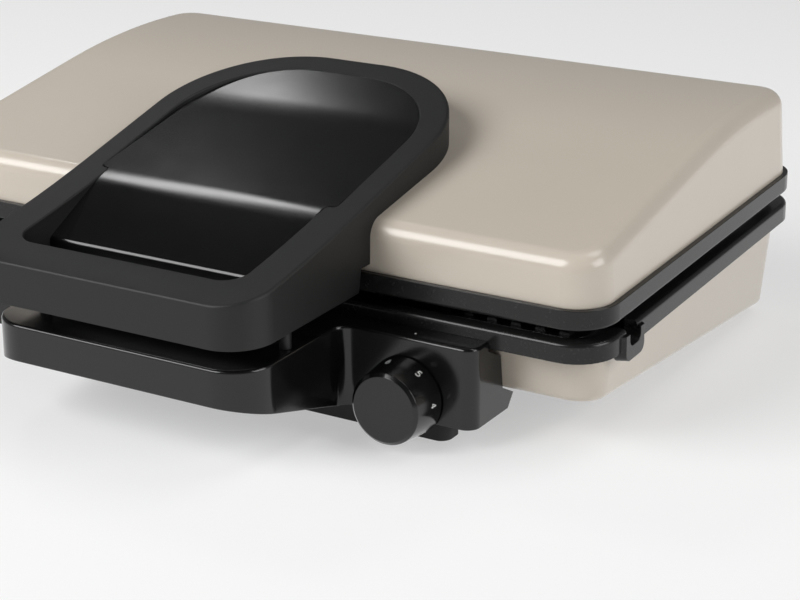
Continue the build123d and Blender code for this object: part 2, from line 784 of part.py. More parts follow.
def housing_form(inset):
    """The wide control housing behind the lip, wrapped round the tub's front and bottom edge."""
    x = fascia_hw - inset
    y1 = housing_back[1][0] + over
    face = make_face(Polyline((-x, panel_y + inset), (x, panel_y + inset), (x, y1), (-x, y1), close=True))
    face = fillet(face.vertices().sort_by(Axis.Y)[:2], fascia_corner - inset)
    body = extrude(face, amount=rim_z + plate_d)
    back = [(y - inset, z) for y, z in housing_back]
    back[0] = (back[0][0], fascia_bottom + inset)
    back += [(y, lip_top(y) - inset) for y in (back[-1][0], panel_y - over)]
    section = [(panel_y - over, fascia_bottom + inset)] + back
    return body & side_prism(section, fascia_hw + over)


def front_fascia(tub_block):
    """Lip and control housing in one moulding, open at the back against the tub, with the shaft hole."""
    hollow = lip_form(fascia_wall) + housing_form(fascia_wall)
    fascia = lip_form(0) + housing_form(0)
    rear = housing_back[-1][0] - fit
    fascia = fillet([e for e in fascia.edges() if min((e @ 0).Z, (e @ 1).Z) > lip_front_top - over
                     and e.center().Y < rear], fascia_round)
    fascia -= hollow + tub_block
    fascia -= y_rod(knob_x, knob_z, bush_r + seat, panel_y - over, panel_y + fascia_wall + over)
    top = lip_top(stud_y)
    for side in (-1, 1):
        fascia -= z_rod(side * stud_x, stud_y, stud_neck_r, top - 2 * stud_root, top + over)
    return fascia


def lip_top(y):
    return lip_front_top + (y - lip_front) / (panel_y - lip_front) * (fascia_top - lip_front_top)


def knob():
    """The tapered control knob: flat face with a bevelled edge, hollow behind, with a bored hub."""
    front = panel_y - knob_gap - knob_len
    back = panel_y - knob_gap
    cone = along_y * Cone(knob_rf, knob_rb, knob_len, align=from_end)
    body = Pos(knob_x, front, knob_z) * chamfer(cone.edges().sort_by(Axis.Y)[0], knob_bevel)
    body -= y_rod(knob_x, knob_z, knob_hollow_r, back - knob_hollow, back + over)
    body += y_rod(knob_x, knob_z, hub_r, front + knob_wall, back - hub_back)
    return body - y_rod(knob_x, knob_z, shaft_r, back - knob_hollow - over, back + over)


def knob_shaft():
    back = panel_y - knob_gap
    return y_rod(knob_x, knob_z, shaft_r, back - knob_hollow - over, panel_y + shaft_in)


def thermostat():
    """The thermostat's case behind the panel and its threaded bush through it."""
    y0 = panel_y + fascia_wall
    case = block(knob_x - thermo_w / 2, knob_x + thermo_w / 2, y0, y0 + thermo_d, thermo_bottom,
                 thermo_bottom + thermo_h)
    case += y_rod(knob_x, knob_z, bush_r, panel_y - bush_out, y0 + weld)
    return case - y_rod(knob_x, knob_z, shaft_r + run_gap, panel_y - 2 * bush_out, panel_y + shaft_in + fit)


def thermostat_nut():
    nut = Pos(knob_x, panel_y, knob_z) * along_y * extrude(RegularPolygon(nut_r, nut_sides), amount=-nut_t)
    return nut - y_rod(knob_x, knob_z, bush_r, panel_y - nut_t - over, panel_y + over)


def rest_studs():
    """Two glossy studs on the lip that the closed handle comes down on."""
    studs = []
    for side in (-1, 1):
        x = side * stud_x
        top = lip_top(stud_y)
        stud = z_rod(x, stud_y, stud_r, top + run_gap, handle_floor(stud_y) - fit)
        studs.append(stud + z_rod(x, stud_y, stud_neck_r, top - stud_root, top + over))
    return studs


def front_feet():
    feet = []
    for side in (-1, 1):
        x = side * (foot_x0 + foot_x1) / 2
        y = (foot_y0 + foot_y1) / 2
        feet.append(Pos(x, 0, 0) * rounded_slab(foot_len, foot_y1 - foot_y0, foot_corner, y, 0, fascia_bottom))
    return feet


def rear_feet():
    """Two round feet under the bottom cover, cut to its slope."""
    above = tub_band(far, -cover_t)
    return [z_rod(side * rear_foot_x, rear_foot_y, rear_foot_r, 0, rim_z) - above for side in (-1, 1)]


# ---------------------------------------------------------------- rear
def back_housing(tub_block):
    """The rear hinge housing: closed, with a wide channel inside for the slides and two slots in its top."""
    section = [(back_inner, back_bottom), (rear_y, back_bottom), (rear_y, back_top), (back_step_y, back_top),
               (back_step_y, back_step_z), (back_inner, back_step_z)]
    body = side_prism(section, back_hw)
    corners = [e for e in body.edges().filter_by(Axis.Z) if e.center().Y > rear_y - weld]
    body = fillet(corners, back_corner) - tub_block
    y0 = hinge_y - slide_t / 2 - fit
    y1 = hinge_y + slide_t / 2 + fit
    bar_top = slide_bottom + tie_h + float_travel + fit
    bar_x = hinge_x + slide_w / 2 + fit
    body -= block(-bar_x, bar_x, y0, y1, slide_bottom, bar_top)
    for side in (-1, 1):
        x = side * hinge_x
        body -= block(x - slide_w / 2 - fit, x + slide_w / 2 + fit, y0, y1, slide_bottom, back_top + over)
    body -= y_rod(gland_x, gland_z, gland_r, rear_y - gland_len, rear_y + over)
    return body - y_rod(gland_x, gland_z, gland_flange_r, rear_y - gland_flange_t, rear_y + over)


def cord_gland():
    """The flanged bush of the supply cord's exit."""
    gland = y_rod(gland_x, gland_z, gland_r, rear_y - gland_len, rear_y)
    gland += y_rod(gland_x, gland_z, gland_flange_r, rear_y - gland_flange_t, rear_y)
    return gland - y_rod(gland_x, gland_z, gland_bore_r, rear_y - 2 * gland_len, rear_y + over)


def slide(side):
    """One lift slide: a flat guide block with the hinge knuckle at its head."""
    x = side * hinge_x
    half = slide_w / 2
    y0 = hinge_y - slide_t / 2
    body = block(x - half, x + half, y0, y0 + slide_t, slide_bottom + tie_h, hinge_z)
    body += x_rod(hinge_y, hinge_z, knuckle_r, x - half, x + half)
    return body - x_rod(hinge_y, hinge_z, pin_r + run_gap, x - half - over, x + half + over)


def slide_tie():
    """The bar that joins the two slides so that they lift together."""
    half = hinge_x + slide_w / 2
    return block(-half, half, hinge_y - slide_t / 2, hinge_y + slide_t / 2, slide_bottom, slide_bottom + tie_h)


def main():
    os.makedirs("parts", exist_ok=True)
    tub_block = tub_solid(0)
    scribe = lid_block()
    bracket = hinge_bracket()
    upper_element_z = upper_rim_top + element_r + element_gap
    lower_element_z = -element_r - element_gap
    pieces = {
        "base_tub": base_tub(),
        "bottom_cover": bottom_cover(),
        "bottom_cover_screws": cover_screws(),
        "front_fascia": front_fascia(tub_block),
        "front_feet": front_feet(),
        "rear_feet": rear_feet(),
        "rest_studs": rest_studs(),
        "lower_plate": lower_plate(),
        "lower_heating_element": heater(lower_element_z),
        "lower_reflector": reflector(lower_reflector_z, False),
        "lower_element_clips": element_clips(lower_reflector_z + sheet, lower_element_z),
        "thermostat": thermostat(),
        "thermostat_nut": thermostat_nut(),
        "control_knob": knob(),
        "knob_shaft": knob_shaft(),
        "rear_hinge_housing": back_housing(tub_block),
        "cord_gland": cord_gland(),
        "hinge_slide_left": slide(-1),
        "hinge_slide_right": slide(1),
        "slide_tie_bar": slide_tie(),
        "hinge_bracket_left": Pos(-hinge_x, 0, 0) * bracket,
        "hinge_bracket_right": Pos(hinge_x, 0, 0) * bracket,
        "hinge_pins": hinge_pins(),
        "lid_shell": lid_shell(),
        "lid_chassis": chassis(),
        "lid_screws": lid_screws(),
        "upper_plate": upper_plate(),
        "upper_heating_element": heater(upper_element_z),
        "upper_reflector": reflector(chassis_top - sheet, True),
        "upper_element_clips": element_clips(chassis_top - 2 * sheet, upper_element_z),
        "handle_frame": handle_frame(scribe),
        "handle_panel": handle_panel(scribe),
        "handle_underside": handle_under(scribe),
        "handle_screws": handle_screws(),
    }
    centred = Pos(-spout_out / 2, 0, 0)
    for name, shape in pieces.items():
        if isinstance(shape, list):
            shape = Compound(children=[centred * solid for solid in shape])
        else:
            shape = centred * shape
        export_step(shape, f"parts/{name}.step")


main()
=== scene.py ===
import math
from collections import namedtuple
import bpy
import numpy as np
from mathutils import Matrix, Vector


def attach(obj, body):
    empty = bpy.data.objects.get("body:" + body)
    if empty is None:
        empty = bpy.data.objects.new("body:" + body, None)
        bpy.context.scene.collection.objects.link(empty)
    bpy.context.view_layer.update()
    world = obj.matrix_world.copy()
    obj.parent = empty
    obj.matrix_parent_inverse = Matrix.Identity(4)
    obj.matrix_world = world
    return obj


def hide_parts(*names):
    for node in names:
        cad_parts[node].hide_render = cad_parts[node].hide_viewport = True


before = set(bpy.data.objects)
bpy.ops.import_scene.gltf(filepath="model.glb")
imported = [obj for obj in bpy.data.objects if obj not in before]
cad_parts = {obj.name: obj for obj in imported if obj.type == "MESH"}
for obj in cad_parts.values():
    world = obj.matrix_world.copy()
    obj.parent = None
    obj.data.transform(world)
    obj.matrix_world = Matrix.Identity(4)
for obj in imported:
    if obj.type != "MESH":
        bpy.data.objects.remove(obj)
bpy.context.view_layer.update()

# Everything is in metres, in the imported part's own frame: +X right, +Z up, the handle towards -Y.
MM = 0.001


# ------------------------------------------------------------------ camera
CAMERA_PLACE = (0.5829, -0.8966, 0.4055)
CAMERA_AZIMUTH = 30.6
CAMERA_PITCH = 19.8
FOCAL_PIXELS = 2070.0
FRAME_WIDTH = 800.0
SENSOR = 36.0


def make_camera():
    """A long lens at the front right, looking down over the corner of the lid, level and without shift."""
    azimuth = math.radians(CAMERA_AZIMUTH)
    pitch = math.radians(CAMERA_PITCH)
    forward = Vector((-math.sin(azimuth) * math.cos(pitch),
                      math.cos(azimuth) * math.cos(pitch),
                      -math.sin(pitch)))
    right = Vector((math.cos(azimuth), math.sin(azimuth), 0.0))
    up = right.cross(forward)
    cam = bpy.data.cameras.new("camera")
    cam.sensor_width = SENSOR
    cam.lens = SENSOR * FOCAL_PIXELS / FRAME_WIDTH
    obj = bpy.data.objects.new("camera", cam)
    bpy.context.scene.collection.objects.link(obj)
    turn = Matrix((right, up, -forward)).transposed().to_4x4()
    obj.matrix_world = Matrix.Translation(Vector(CAMERA_PLACE)) @ turn
    bpy.context.scene.camera = obj


# ------------------------------------------------------------------ node helpers
class Nodes:
    """A thin hand for wiring a node tree: add a node with its settings, and link by socket names."""

    def __init__(self, tree):
        """Keeps the node tree that the other two methods work on."""
        self.tree = tree

    def add(self, kind, **settings):
        """A new node of the given kind, with the given properties set."""
        node = self.tree.nodes.new(kind)
        for key, value in settings.items():
            setattr(node, key, value)
        return node

    def wire(self, source, out, target, into):
        """Links one node's output to another's input, each by its name or its number."""
        self.tree.links.new(source.outputs[out], target.inputs[into])


def new_group(name, inputs, outputs):
    """A shader node group, its inputs given as (name, kind, default) and its outputs as (name, kind)."""
    group = bpy.data.node_groups.new(name, "ShaderNodeTree")
    for label, kind, value in inputs:
        socket = group.interface.new_socket(label, in_out="INPUT", socket_type=kind)
        socket.default_value = value
    for label, kind in outputs:
        group.interface.new_socket(label, in_out="OUTPUT", socket_type=kind)
    return group, Nodes(group)


FLOAT = "NodeSocketFloat"
COLOR = "NodeSocketColor"
VECTOR = "NodeSocketVector"

GRAIN_DETAIL = 2.0
MOTTLE_DETAIL = 4.0
BRUSH_DETAIL = 3.0
NOISE_MIDDLE = 0.5
EDGE_SOFTNESS = 0.6 * MM                  # radius that sharp edges are shaded with
EDGE_SAMPLES = 6
BRUSH_STRETCH = (12.0, 700.0, 700.0)      # noise per metre along the lines, and across them


def grain_group():
    """Fine surface grain: a height from fractal noise, as a bump, with edges softened by a small radius."""
    group, n = new_group("fine_grain",
                         [("Scale", FLOAT, 900.0), ("Strength", FLOAT, 0.1), ("Depth", FLOAT, 0.0001)],
                         [("Normal", VECTOR)])
    start = n.add("NodeGroupInput")
    end = n.add("NodeGroupOutput")
    place = n.add("ShaderNodeTexCoord")
    noise = n.add("ShaderNodeTexNoise", noise_dimensions="3D")
    noise.inputs["Detail"].default_value = GRAIN_DETAIL
    soft = n.add("ShaderNodeBevel", samples=EDGE_SAMPLES)
    soft.inputs["Radius"].default_value = EDGE_SOFTNESS
    bump = n.add("ShaderNodeBump")
    n.wire(place, "Object", noise, "Vector")
    n.wire(start, "Scale", noise, "Scale")
    n.wire(noise, "Fac", bump, "Height")
    n.wire(start, "Strength", bump, "Strength")
    n.wire(start, "Depth", bump, "Distance")
    n.wire(soft, "Normal", bump, "Normal")
    n.wire(bump, "Normal", end, "Normal")
    return group


def mottle_group():
    """Slow variation of a finish: the colour a little lighter or darker, the roughness drifting with it."""
    group, n = new_group("mottle",
                         [("Color", COLOR, (1, 1, 1, 1)), ("Scale", FLOAT, 40.0), ("Amount", FLOAT, 0.1),
                          ("Roughness", FLOAT, 0.3), ("Drift", FLOAT, 0.05)],
                         [("Color", COLOR), ("Roughness", FLOAT)])
    start = n.add("NodeGroupInput")
    end = n.add("NodeGroupOutput")
    place = n.add("ShaderNodeTexCoord")
    noise = n.add("ShaderNodeTexNoise")
    noise.inputs["Detail"].default_value = MOTTLE_DETAIL
    centre = n.add("ShaderNodeMath", operation="SUBTRACT")
    centre.inputs[1].default_value = NOISE_MIDDLE
    shade = n.add("ShaderNodeMath", operation="MULTIPLY_ADD")
    shade.inputs[2].default_value = 1.0
    tint = n.add("ShaderNodeVectorMath", operation="SCALE")
    drift = n.add("ShaderNodeMath", operation="MULTIPLY_ADD")
    n.wire(place, "Object", noise, "Vector")
    n.wire(start, "Scale", noise, "Scale")
    n.wire(noise, "Fac", centre, 0)
    n.wire(centre, "Value", shade, 0)
    n.wire(start, "Amount", shade, 1)
    n.wire(start, "Color", tint, "Vector")
    n.wire(shade, "Value", tint, "Scale")
    n.wire(tint, "Vector", end, "Color")
    n.wire(centre, "Value", drift, 0)
    n.wire(start, "Drift", drift, 1)
    n.wire(start, "Roughness", drift, 2)
    n.wire(drift, "Value", end, "Roughness")
    return group


def fleck_group():
    """Scattered flecks: the cells of a Voronoi pattern whose random value is below the given share."""
    group, n = new_group("flecks",
                         [("Color", COLOR, (0, 0, 0, 1)), ("Fleck", COLOR, (1, 1, 1, 1)),
                          ("Scale", FLOAT, 1200.0), ("Share", FLOAT, 0.1)],
                         [("Color", COLOR)])
    start = n.add("NodeGroupInput")
    end = n.add("NodeGroupOutput")
    place = n.add("ShaderNodeTexCoord")
    cells = n.add("ShaderNodeTexVoronoi")
    split = n.add("ShaderNodeSeparateColor")
    keep = n.add("ShaderNodeMath", operation="LESS_THAN")
    mix = n.add("ShaderNodeMix", data_type="RGBA")
    n.wire(place, "Object", cells, "Vector")
    n.wire(start, "Scale", cells, "Scale")
    n.wire(cells, "Color", split, "Color")
    n.wire(split, "Red", keep, 0)
    n.wire(start, "Share", keep, 1)
    n.wire(keep, 0, mix, "Factor")
    n.wire(start, "Color", mix, 6)
    n.wire(start, "Fleck", mix, 7)
    n.wire(mix, 2, end, "Color")
    return group


def brush_group():
    """Brushed lines along X: noise stretched along one axis, for the roughness of rolled metal."""
    group, n = new_group("brushed",
                         [("Roughness", FLOAT, 0.3), ("Drift", FLOAT, 0.2)],
                         [("Roughness", FLOAT)])
    start = n.add("NodeGroupInput")
    end = n.add("NodeGroupOutput")
    place = n.add("ShaderNodeTexCoord")
    stretch = n.add("ShaderNodeMapping")
    stretch.inputs["Scale"].default_value = BRUSH_STRETCH
    noise = n.add("ShaderNodeTexNoise")
    noise.inputs["Scale"].default_value = 1.0
    noise.inputs["Detail"].default_value = BRUSH_DETAIL
    centre = n.add("ShaderNodeMath", operation="SUBTRACT")
    centre.inputs[1].default_value = NOISE_MIDDLE
    drift = n.add("ShaderNodeMath", operation="MULTIPLY_ADD")
    n.wire(place, "Object", stretch, "Vector")
    n.wire(stretch, "Vector", noise, "Vector")
    n.wire(noise, "Fac", centre, 0)
    n.wire(centre, "Value", drift, 0)
    n.wire(start, "Drift", drift, 1)
    n.wire(start, "Roughness", drift, 2)
    n.wire(drift, "Value", end, "Roughness")
    return group


GRAIN = grain_group()
MOTTLE = mottle_group()
FLECKS = fleck_group()
BRUSHED = brush_group()


# ------------------------------------------------------------------ materials
Finish = namedtuple("Finish", "material nodes shader tone")


def finish_material(name, color, roughness, mottle, grain):
    """The common ground of every finish: mottled colour and roughness, with a fine grain in the normal.

    mottle holds its scale, the amount of the colour's change and the drift of the roughness. grain holds its
    scale, strength and depth.
    """
    mat = bpy.data.materials.new(name)
    mat.use_nodes = True
    n = Nodes(mat.node_tree)
    shader = mat.node_tree.nodes["Principled BSDF"]
    tone = n.add("ShaderNodeGroup", node_tree=MOTTLE)
    tone.inputs["Color"].default_value = (*color, 1.0)
    tone.inputs["Scale"].default_value = mottle[0]
    tone.inputs["Amount"].default_value = mottle[1]
    tone.inputs["Roughness"].default_value = roughness
    tone.inputs["Drift"].default_value = mottle[2]
    skin = n.add("ShaderNodeGroup", node_tree=GRAIN)
    skin.inputs["Scale"].default_value = grain[0]
    skin.inputs["Strength"].default_value = grain[1]
    skin.inputs["Depth"].default_value = grain[2]
    n.wire(tone, "Color", shader, "Base Color")
    n.wire(tone, "Roughness", shader, "Roughness")
    n.wire(skin, "Normal", shader, "Normal")
    return Finish(mat, n, shader, tone)


# Below, a mottle is (scale, amount, drift), and a grain is (scale, strength, depth).
BEIGE = (0.56, 0.50, 0.425)
ENAMEL_MOTTLE = (18.0, 0.05, 0.05)
ENAMEL_GRAIN = (420.0, 0.12, 0.0002)
ENAMEL_ROUGHNESS = 0.30
ENAMEL_SPECULAR = 0.42
ENAMEL_COAT = 0.45
ENAMEL_COAT_ROUGHNESS = 0.12


def beige_enamel():
    """Sprayed enamel: warm beige, a little orange peel under a clear gloss."""
    finish = finish_material("beige_enamel", BEIGE, ENAMEL_ROUGHNESS, ENAMEL_MOTTLE, ENAMEL_GRAIN)
    finish.shader.inputs["Specular IOR Level"].default_value = ENAMEL_SPECULAR
    finish.shader.inputs["Coat Weight"].default_value = ENAMEL_COAT
    finish.shader.inputs["Coat Roughness"].default_value = ENAMEL_COAT_ROUGHNESS
    return finish.material


MOULD_MOTTLE = (60.0, 0.25, 0.05)
MOULD_GRAIN_SCALE = 1500.0
MOULD_GRAIN_DEPTH = 0.0001


def moulded_black(name, color, roughness, grain_strength):
    """Plastic, rubber or dark ink: near black, with a fine grain of the given strength."""
    grain = (MOULD_GRAIN_SCALE, grain_strength, MOULD_GRAIN_DEPTH)
    return finish_material(name, color, roughness, MOULD_MOTTLE, grain).material


CHARCOAL = (0.010, 0.010, 0.0098)
COATING_MOTTLE = (30.0, 0.2, 0.05)
COATING_GRAIN = (1100.0, 0.08, 0.0001)
COATING_ROUGHNESS = 0.22
COATING_SPECULAR = 0.35
FLECK_GREY = (0.020, 0.020, 0.0195, 1.0)
FLECK_SCALE = 1500.0
FLECK_SHARE = 0.03


def nonstick_coating():
    """Sprayed non-stick coating on die-cast aluminium: charcoal with faint flecks and a soft pebble."""
    finish = finish_material("nonstick_coating", CHARCOAL, COATING_ROUGHNESS, COATING_MOTTLE, COATING_GRAIN)
    finish.shader.inputs["Specular IOR Level"].default_value = COATING_SPECULAR
    flecks = finish.nodes.add("ShaderNodeGroup", node_tree=FLECKS)
    flecks.inputs["Fleck"].default_value = FLECK_GREY
    flecks.inputs["Scale"].default_value = FLECK_SCALE
    flecks.inputs["Share"].default_value = FLECK_SHARE
    finish.nodes.wire(finish.tone, "Color", flecks, "Color")
    finish.nodes.wire(flecks, "Color", finish.shader, "Base Color")
    return finish.material


METAL_MOTTLE = (25.0, 0.12, 0.0)
METAL_GRAIN = (900.0, 0.08, 0.0001)


def rolled_metal(name, color, roughness, drift):
    """Rolled or drawn metal: brushed lines in the roughness over a mottled tone."""
    finish = finish_material(name, color, roughness, METAL_MOTTLE, METAL_GRAIN)
    finish.shader.inputs["Metallic"].default_value = 1.0
    lines = finish.nodes.add("ShaderNodeGroup", node_tree=BRUSHED)
    lines.inputs["Roughness"].default_value = roughness
    lines.inputs["Drift"].default_value = drift
    finish.nodes.wire(lines, "Roughness", finish.shader, "Roughness")
    return finish.material


PRINT_WHITE = (0.78, 0.78, 0.77)
PRINT_ROUGHNESS = 0.5
PRINT_MOTTLE = (900.0, 0.15, 0.1)
PRINT_GRAIN = (2500.0, 0.1, 0.00005)


def white_print():
    """Pad-printed white ink, slightly uneven."""
    return finish_material("white_print", PRINT_WHITE, PRINT_ROUGHNESS, PRINT_MOTTLE, PRINT_GRAIN).material


FLOOR_WHITE = (0.90, 0.90, 0.90)
FLOOR_ROUGHNESS = 0.9
FLOOR_MOTTLE = (3.0, 0.01, 0.0)
FLOOR_GRAIN = (200.0, 0.0, 0.0001)
FLOOR_SPECULAR = 0.1
FLOOR_GLOW_SEEN = 0.45
FLOOR_GLOW_MIRRORED = 0.80


def floor_material():
    """A matt white sweep, lifted towards white for the camera and for reflections, with the shadow kept."""
    finish = finish_material("floor_white", FLOOR_WHITE, FLOOR_ROUGHNESS, FLOOR_MOTTLE, FLOOR_GRAIN)
    finish.shader.inputs["Specular IOR Level"].default_value = FLOOR_SPECULAR
    n = finish.nodes
    rays = n.add("ShaderNodeLightPath")
    mirrored = n.add("ShaderNodeMath", operation="MAXIMUM")
    share = n.add("ShaderNodeMath", operation="MULTIPLY")
    share.inputs[1].default_value = FLOOR_GLOW_MIRRORED
    total = n.add("ShaderNodeMath", operation="MULTIPLY_ADD")
    total.inputs[1].default_value = FLOOR_GLOW_SEEN
    glow = n.add("ShaderNodeEmission")
    mix = n.add("ShaderNodeMixShader")
    n.wire(rays, "Is Glossy Ray", mirrored, 0)
    n.wire(rays, "Is Transmission Ray", mirrored, 1)
    n.wire(mirrored, "Value", share, 0)
    n.wire(rays, "Is Camera Ray", total, 0)
    n.wire(share, "Value", total, 2)
    n.wire(total, "Value", mix, "Fac")
    n.wire(finish.shader, "BSDF", mix, 1)
    n.wire(glow, "Emission", mix, 2)
    n.wire(mix, "Shader", finish.material.node_tree.nodes["Material Output"], "Surface")
    return finish.material


enamel = beige_enamel()
ring_black = moulded_black("ring_black", (0.003, 0.003, 0.0031), 0.55, 0.10)
panel_black = moulded_black("panel_black", (0.004, 0.004, 0.0042), 0.17, 0.03)
fascia_black = moulded_black("fascia_black", (0.005, 0.005, 0.0052), 0.16, 0.05)
knob_black = moulded_black("knob_black", (0.005, 0.005, 0.0052), 0.18, 0.05)
dark_plastic = moulded_black("dark_plastic", (0.022, 0.022, 0.023), 0.55, 0.3)
rubber = moulded_black("rubber", (0.022, 0.021, 0.021), 0.75, 0.35)
coating = nonstick_coating()
sheet_metal = rolled_metal("sheet_metal", (0.56, 0.56, 0.57), 0.32, 0.25)
heater_sheath = rolled_metal("heater_sheath", (0.17, 0.155, 0.145), 0.45, 0.25)
zinc = rolled_metal("zinc", (0.50, 0.50, 0.52), 0.35, 0.1)
brass = rolled_metal("brass", (0.62, 0.45, 0.20), 0.3, 0.1)
ink = white_print()
dark_ink = moulded_black("dark_ink", (0.002, 0.002, 0.002), 0.6, 0.1)

NODE_FINISH = {
    enamel: ("base_tub", "lid_shell"),
    ring_black: ("handle_frame", "rest_studs"),
    panel_black: ("handle_panel",),
    fascia_black: ("front_fascia",),
    knob_black: ("control_knob",),
    dark_plastic: ("bottom_cover", "rear_hinge_housing", "thermostat", "handle_underside"),
    rubber: ("front_feet", "rear_feet", "cord_gland"),
    coating: ("lower_plate", "upper_plate"),
    sheet_metal: ("lid_chassis", "lower_reflector", "upper_reflector", "lower_element_clips",
                  "upper_element_clips", "hinge_bracket_left", "hinge_bracket_right",
                  "hinge_slide_left", "hinge_slide_right", "slide_tie_bar"),
    heater_sheath: ("lower_heating_element", "upper_heating_element"),
    zinc: ("bottom_cover_screws", "lid_screws", "handle_screws", "hinge_pins", "knob_shaft"),
    brass: ("thermostat_nut",),
}


def dress_nodes():
    """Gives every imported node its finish."""
    for material, names in NODE_FINISH.items():
        for name in names:
            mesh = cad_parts[name].data
            mesh.materials.clear()
            mesh.materials.append(material)


# ------------------------------------------------------------------ mesh helpers
def mesh_piece(name, points, faces, material, body, smooth=True):
    """A mesh object from arrays, finished and on its body."""
    mesh = bpy.data.meshes.new(name)
    mesh.from_pydata(points.tolist(), [], faces)
    mesh.materials.append(material)
    mesh.polygons.foreach_set("use_smooth", np.full(len(mesh.polygons), smooth))
    mesh.update()
    obj = bpy.data.objects.new(name, mesh)
    bpy.context.scene.collection.objects.link(obj)
    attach(obj, body)
    return obj


def grid_faces(rows, columns):
    """Quads of a closed tube: rows sections of columns points each, joined in turn, with both ends capped."""
    row, column = np.meshgrid(np.arange(rows - 1), np.arange(columns), indexing="ij")
    after = (column + 1) % columns
    sides = np.stack([row * columns + column, row * columns + after,
                      (row + 1) * columns + after, (row + 1) * columns + column], axis=-1).reshape(-1, 4)
    first = np.arange(columns)[::-1].tolist()
    last = ((rows - 1) * columns + np.arange(columns)).tolist()
    return sides.tolist() + [first, last]


# ------------------------------------------------------------------ panel inside the handle's ring
PANEL_X = -1.0 * MM                       # the handle's middle
PANEL_FOOT = (-141.0 * MM, 70.5 * MM)     # bottom of the finger gap's back wall, as (y, z)
PANEL_BROW = (-141.0 * MM, 85.4 * MM)     # where that wall turns into the scoop
PANEL_CREASE = (-98.55 * MM, 107.5 * MM)  # where the scoop meets the flat
PANEL_BEND = (-8.5 * MM, 128.1 * MM)      # where the flat starts to rise towards the rear
PANEL_END = (30.3 * MM, 141.0 * MM)
BROW_ROUND = 3.0 * MM
CREASE_ROUND = 60.0 * MM
BEND_ROUND = 210.0 * MM
PANEL_THICK = 2.6 * MM
SCOOP_HALF = 65.65 * MM
FLAT_HALF = 71.35 * MM
PANEL_STEP_Y = -90.55 * MM                # where the side steps out from the scoop's width to the flat's
PANEL_STEP_ROUND = 2.6 * MM
PANEL_REAR_ROUND = 56.0 * MM
PANEL_FINENESS = 0.7 * MM                 # step between the points of the side line
PANEL_COLUMNS = 41                        # points across the width
PANEL_SHARP_ANGLE = 35.0
ARC_POINTS = 28


def rounded_line(corners, radii):
    """A line through corners in a plane, the inner corners replaced by tangent arcs of the given radii.

    An arc starts at the radius times the tangent of half the turn before its corner, and a point of it is the
    centre minus the radius times (cos(angle) * side - sin(angle) * direction in).
    """
    corners = [np.array(c, float) for c in corners]
    pieces = [corners[0][None, :]]
    for before, corner, after, radius in zip(corners[:-2], corners[1:-1], corners[2:], radii):
        into = (corner - before) / np.linalg.norm(corner - before)
        out = (after - corner) / np.linalg.norm(after - corner)
        turn = math.atan2(into[0] * out[1] - into[1] * out[0], float(into @ out))
        reach = radius * math.tan(abs(turn) / 2)
        side = math.copysign(1.0, turn) * np.array([-into[1], into[0]])
        centre = corner - reach * into + radius * side
        angles = np.linspace(0.0, turn, ARC_POINTS)[:, None]
        pieces.append(centre - radius * (np.cos(angles) * side - np.sin(abs(angles)) * into))
    pieces.append(corners[-1][None, :])
    return np.concatenate(pieces)


def panel_half_width(y):
    """Half width at y: the scoop's, an S of two equal arcs out to the flat's, then a round end.

    Each arc is a radius less or plus the square root of the radius squared minus the distance squared.
    """
    r = PANEL_STEP_ROUND
    low = SCOOP_HALF + r - np.sqrt(np.clip(r**2 - np.clip(y - PANEL_STEP_Y + r, 0, r)**2, 0, None))
    high = FLAT_HALF - r + np.sqrt(np.clip(r**2 - np.clip(PANEL_STEP_Y + r - y, 0, r)**2, 0, None))
    straight_end = PANEL_END[0] - PANEL_REAR_ROUND
    depth = np.clip(y - straight_end, 0, PANEL_REAR_ROUND)
    rear = FLAT_HALF - PANEL_REAR_ROUND + np.sqrt(PANEL_REAR_ROUND**2 - depth**2)
    return np.where(y < PANEL_STEP_Y, low, np.minimum(high, rear))


def finer(path, step):
    """The same line with points added at even steps along its length."""
    run = np.concatenate([[0.0], np.cumsum(np.linalg.norm(np.diff(path, axis=0), axis=1))])
    at = np.linspace(0.0, run[-1], int(run[-1] / step) + 1)
    at = np.union1d(at, run)
    return np.stack([np.interp(at, run, path[:, 0]), np.interp(at, run, path[:, 1])], axis=1)


def swept_across(profile, across):
    """Points of a side line, as (y, z), repeated at each x of its row in across."""
    y = np.repeat(profile[:, :1], PANEL_COLUMNS, 1)
    z = np.repeat(profile[:, 1:], PANEL_COLUMNS, 1)
    return np.stack([across, y, z], axis=-1)


def handle_panel():
    """The dished panel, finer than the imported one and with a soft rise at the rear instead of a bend.

    Its side line runs up the finger gap's back wall, over the brow, up the scoop, round the crease and along
    the flat. Each point of it is swept across the panel's width there. The underside is the same line moved
    by the thickness along its own normal.
    """
    profile = rounded_line([PANEL_FOOT, PANEL_BROW, PANEL_CREASE, PANEL_BEND, PANEL_END],
                           [BROW_ROUND, CREASE_ROUND, BEND_ROUND])
    profile = finer(profile, PANEL_FINENESS)
    step = np.gradient(profile, axis=0)
    step /= np.linalg.norm(step, axis=1, keepdims=True)
    under = profile + PANEL_THICK * np.stack([step[:, 1], -step[:, 0]], axis=1)
    half = panel_half_width(profile[:, 0])
    share = np.linspace(-1.0, 1.0, PANEL_COLUMNS)
    across = PANEL_X + half[:, None] * share[None, :]
    top = swept_across(profile, across)
    low = swept_across(under, across)[:, ::-1]
    points = np.concatenate([top, low], axis=1).reshape(-1, 3)
    faces = grid_faces(len(profile), 2 * PANEL_COLUMNS)
    panel = mesh_piece("handle_panel_fine", points, faces, panel_black, "lid")
    panel.data.set_sharp_from_angle(angle=math.radians(PANEL_SHARP_ANGLE))
    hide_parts("handle_panel")


